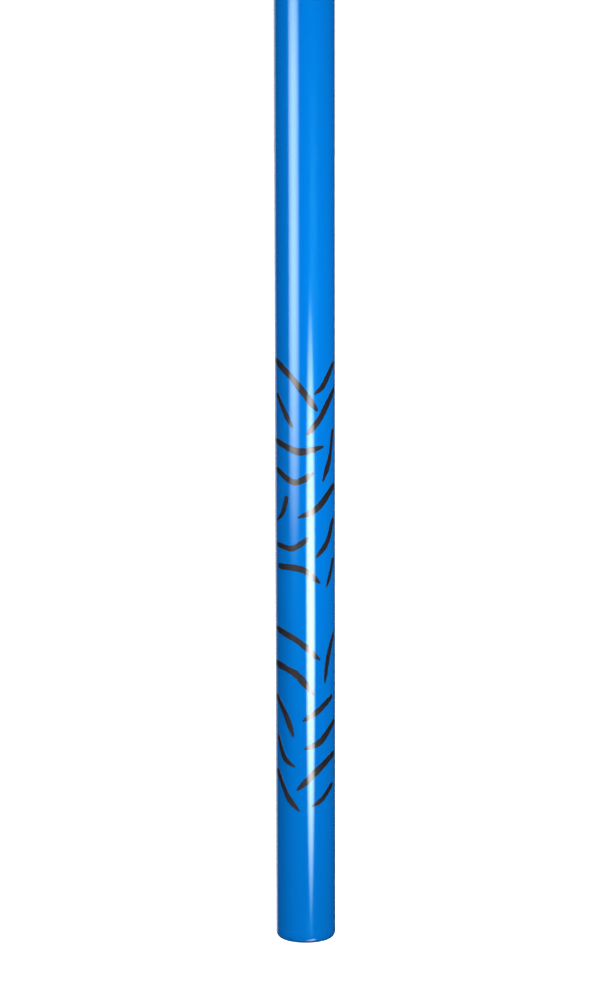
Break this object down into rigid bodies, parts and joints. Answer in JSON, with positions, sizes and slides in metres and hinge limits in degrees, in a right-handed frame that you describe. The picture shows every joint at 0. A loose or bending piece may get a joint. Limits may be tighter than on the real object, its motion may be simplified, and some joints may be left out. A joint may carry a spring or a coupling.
{
  "type": "curling brush",
  "caption": "Long round-handled brush for sweeping ice, with a padded rectangular head that tilts on a fork and is locked at set angles by a thumb slide.",
  "frame": {"origin": "centre of the butt end's flat face, the low end of the handle", "axes": "+Z along the handle towards the head; X along the head's long side and the tilt axis; -Y is the side of the thumb slide"},
  "size_m": [0.205, 0.077, 1.2],
  "materials": {
    "handle_lacquer": "gloss blue lacquer over a fibreglass tube",
    "plug_lacquer": "gloss blue lacquer over a moulded plug",
    "ring_aluminium": "satin",
    "rivet_aluminium": "plain",
    "black_nylon": "fine grained, glass-filled nylon",
    "white_nylon": "plain",
    "bolt_steel": "stainless",
    "spring_steel": "blued",
    "bar_steel": "ground",
    "thumb_plastic": "blue, ridged",
    "bumper_rubber": "matt thermoplastic rubber",
    "pad_plate_plastic": "plain",
    "insert_brass": "turned",
    "foam": "closed-cell foam",
    "pad_cloth": "woven nylon cloth"
  },
  "bodies": {
    "handle": {"handle_tube": "handle_lacquer", "butt_plug": "plug_lacquer", "tube_end_ring": "ring_aluminium", "ferrule": "black_nylon", "ferrule_rivets": "rivet_aluminium", "pivot_bolt": "bolt_steel", "pivot_nut": "bolt_steel", "bolt_washers": "bolt_steel", "thrust_washers": "white_nylon", "detent_spring": "spring_steel"},
    "lock": {"lock_bar": "bar_steel", "thumb_slide": "thumb_plastic", "thumb_screw": "bolt_steel"},
    "head": {"head_base": "black_nylon", "pivot_bush": "white_nylon", "edge_bumper": "bumper_rubber", "pad_plate": "pad_plate_plastic", "threaded_inserts": "insert_brass", "foam_core": "foam", "pad_cover": "pad_cloth", "pad_screws": "bolt_steel"}
  },
  "joints": [
    {"name": "head_tilt", "type": "hinge", "parent": "handle", "child": "head", "pos_m": [0, 0, 1.1607], "axis": [1, 0, 0], "range_deg": [-60, 60]},
    {"name": "lock_slide", "type": "slide", "parent": "handle", "child": "lock", "axis": [0, 0, 1], "range_m": [0, 0.005], "deforming": ["detent_spring"]}
  ]
}
